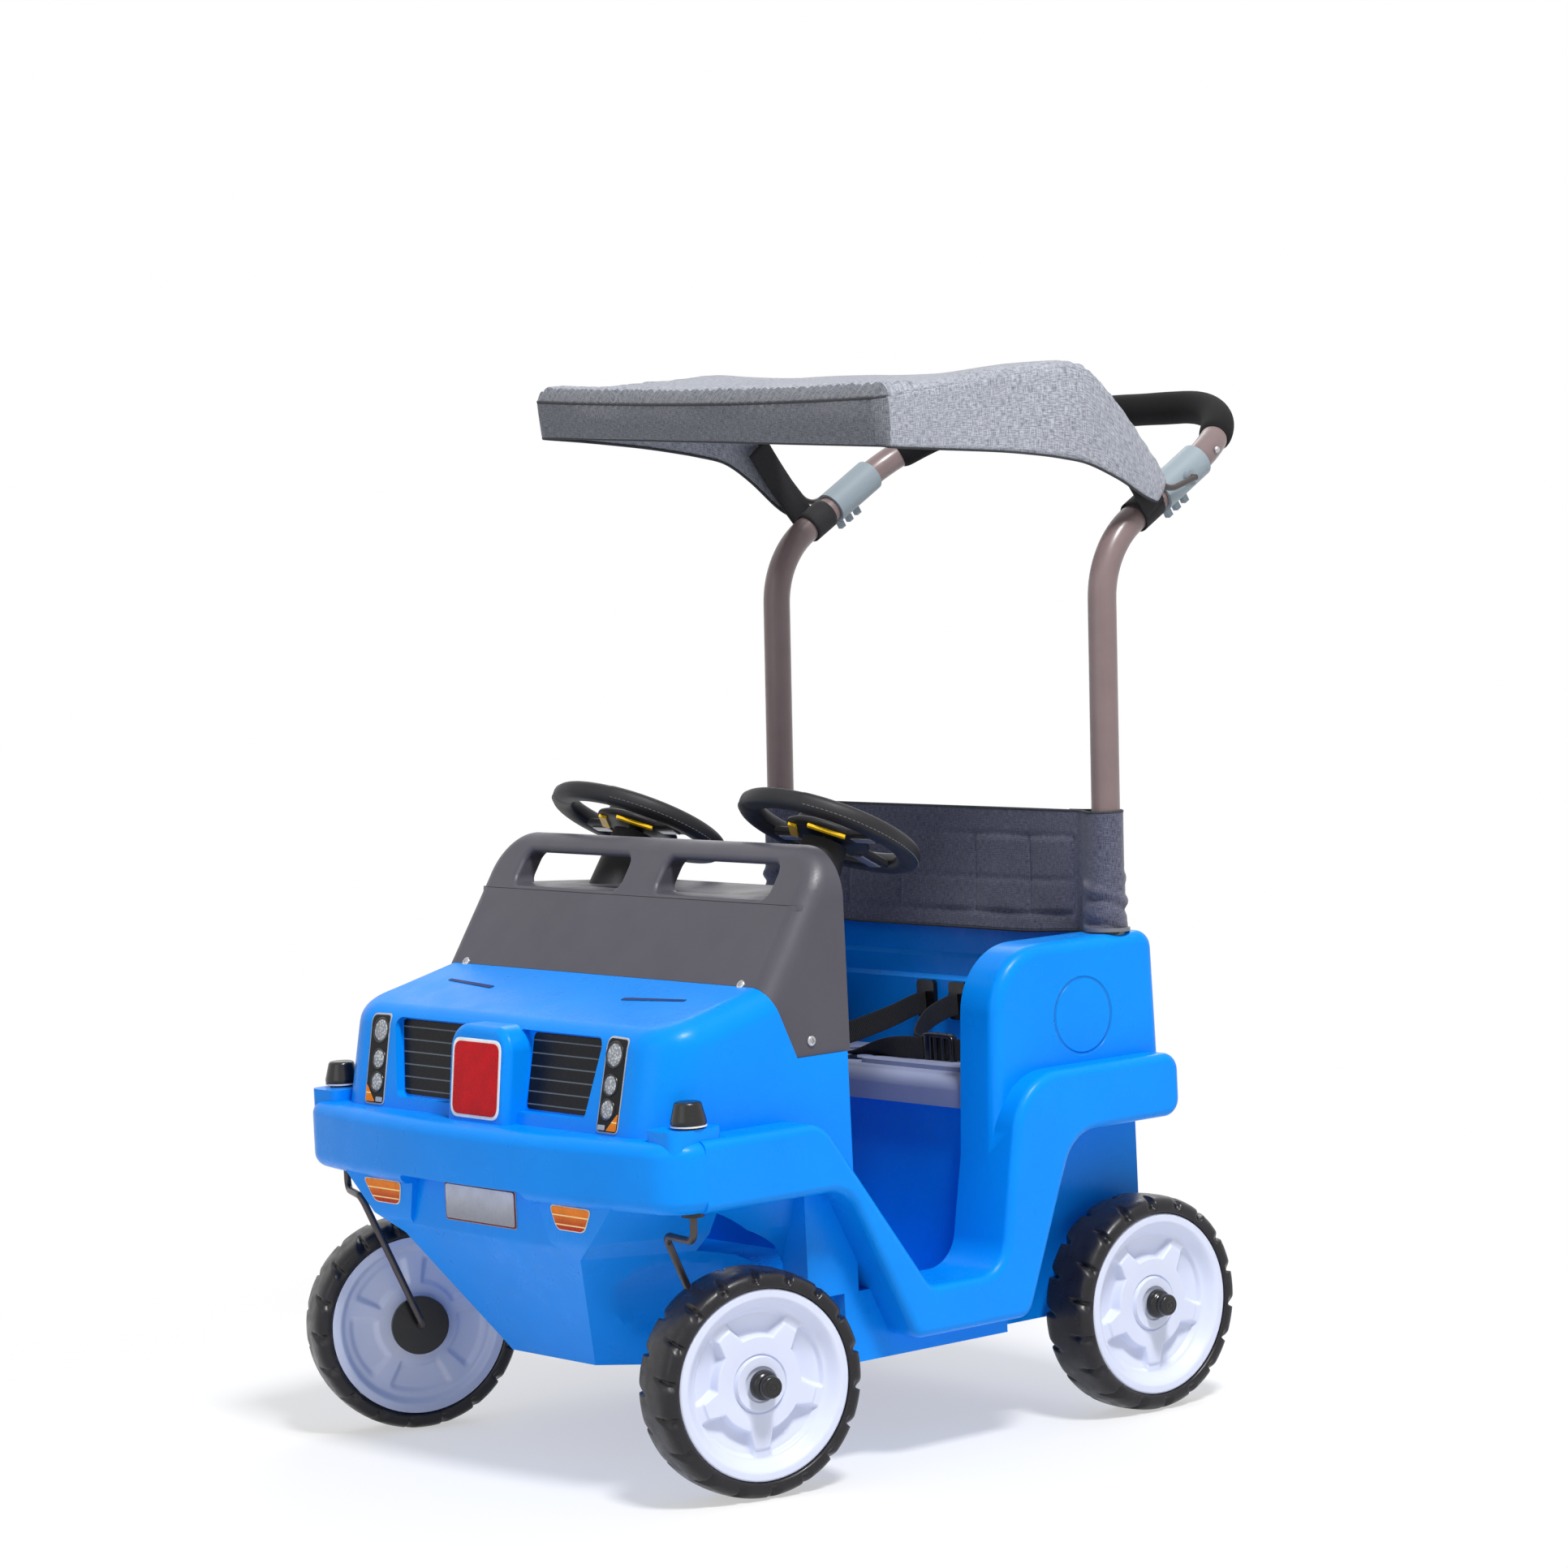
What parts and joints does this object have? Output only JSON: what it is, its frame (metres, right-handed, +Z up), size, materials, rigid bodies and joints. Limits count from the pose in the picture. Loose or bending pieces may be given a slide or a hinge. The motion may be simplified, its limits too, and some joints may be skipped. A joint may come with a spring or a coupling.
{
  "type": "push car",
  "caption": "Toy push car with a moulded open body, swivelling front casters, steering wheels, seat belts, a tall parent handle, cloth backrest and tilting canopy.",
  "frame": {"origin": "on the ground, in the middle of the car's width and length at the rest headings", "axes": "+Z up, the front faces -Y, +X is the car's left side"},
  "size_m": [0.7277, 0.992, 1.1604],
  "materials": {
    "blue_plastic": "satin moulded",
    "grey_plastic": "textured",
    "seat_plastic": "satin",
    "black_plastic": "satin",
    "white_plastic": "satin",
    "yellow_plastic": "gloss",
    "clamp_plastic": "satin",
    "tyre": "semi-gloss",
    "tube_paint": "taupe enamel",
    "steel": "dark",
    "foam": "matte foam",
    "canopy_cloth": "heather",
    "sling_cloth": "woven",
    "webbing": "woven"
  },
  "bodies": {
    "chassis": {"body_shell": "blue_plastic", "dash_panel": "grey_plastic", "seat_panel": "seat_plastic", "belt_anchors": "black_plastic", "backrest_sling": "sling_cloth", "handle_tube": "tube_paint", "foam_grip": "foam", "rear_axle": "steel", "rear_axle_caps": "black_plastic", "rear_axle_washers": "steel", "tube_socket_left": "blue_plastic", "upright_tube_left": "tube_paint", "canopy_clamp_left": "clamp_plastic", "canopy_strap_left": "webbing", "steering_boot_left": "black_plastic", "lap_belt_left": "webbing", "belt_buckle_left": "black_plastic", "pivot_bush_left": "white_plastic", "tube_socket_right": "blue_plastic", "upright_tube_right": "tube_paint", "canopy_clamp_right": "clamp_plastic", "canopy_strap_right": "webbing", "steering_boot_right": "black_plastic", "lap_belt_right": "webbing", "belt_buckle_right": "black_plastic", "pivot_bush_right": "white_plastic"},
    "caster_left": {"caster_rod_left": "steel", "caster_nut_left": "black_plastic", "caster_collar_left": "steel", "pivot_washer_left": "white_plastic", "front_axle_cap_left": "black_plastic", "front_axle_washer_left": "steel"},
    "front_wheel_left": {"front_left_tyre": "tyre", "front_left_hub": "white_plastic", "front_inner_disc_left": "black_plastic"},
    "rear_wheel_left": {"rear_left_tyre": "tyre", "rear_left_hub": "white_plastic"},
    "steering_left": {"steering_rim_left": "black_plastic", "steering_hub_left": "black_plastic", "steering_inserts_left": "yellow_plastic", "steering_column_left": "black_plastic"},
    "caster_right": {"caster_rod_right": "steel", "caster_nut_right": "black_plastic", "caster_collar_right": "steel", "pivot_washer_right": "white_plastic", "front_axle_cap_right": "black_plastic", "front_axle_washer_right": "steel"},
    "front_wheel_right": {"front_right_tyre": "tyre", "front_right_hub": "white_plastic", "front_inner_disc_right": "black_plastic"},
    "rear_wheel_right": {"rear_right_tyre": "tyre", "rear_right_hub": "white_plastic"},
    "steering_right": {"steering_rim_right": "black_plastic", "steering_hub_right": "black_plastic", "steering_inserts_right": "yellow_plastic", "steering_column_right": "black_plastic"},
    "canopy": {"canopy_bow": "steel", "canopy_fabric": "canopy_cloth"}
  },
  "joints": [
    {"name": "caster_left_swivel", "type": "hinge", "parent": "chassis", "child": "caster_left", "pos_m": [0.3158, -0.4228, 0.35], "axis": [0, 0, 1], "continuous": true},
    {"name": "front_wheel_left_spin", "type": "hinge", "parent": "caster_left", "child": "front_wheel_left", "pos_m": [0.31559, -0.35753, 0.12], "axis": [0.9857, -0.1685, 0], "continuous": true},
    {"name": "rear_wheel_left_spin", "type": "hinge", "parent": "chassis", "child": "rear_wheel_left", "pos_m": [0.3107, 0.2073, 0.12], "axis": [1, 0, 0], "continuous": true},
    {"name": "steering_left_turn", "type": "hinge", "parent": "chassis", "child": "steering_left", "pos_m": [0.17, -0.0947, 0.668], "axis": [0, 0.4695, 0.8829], "continuous": true},
    {"name": "caster_right_swivel", "type": "hinge", "parent": "chassis", "child": "caster_right", "pos_m": [-0.3158, -0.4228, 0.35], "axis": [0, 0, 1], "continuous": true},
    {"name": "front_wheel_right_spin", "type": "hinge", "parent": "caster_right", "child": "front_wheel_right", "pos_m": [-0.2824, -0.36673, 0.12], "axis": [0.9342, -0.3567, 0], "continuous": true},
    {"name": "rear_wheel_right_spin", "type": "hinge", "parent": "chassis", "child": "rear_wheel_right", "pos_m": [-0.3107, 0.2073, 0.12], "axis": [1, 0, 0], "continuous": true},
    {"name": "steering_right_turn", "type": "hinge", "parent": "chassis", "child": "steering_right", "pos_m": [-0.17, -0.0947, 0.668], "axis": [0, 0.4695, 0.8829], "continuous": true},
    {"name": "canopy_tilt", "type": "hinge", "parent": "chassis", "child": "canopy", "pos_m": [0, 0.34242, 1.03314], "axis": [-1, 0, 0], "range_deg": [0, 90], "deforming": ["canopy_strap_left", "canopy_strap_right"]}
  ]
}
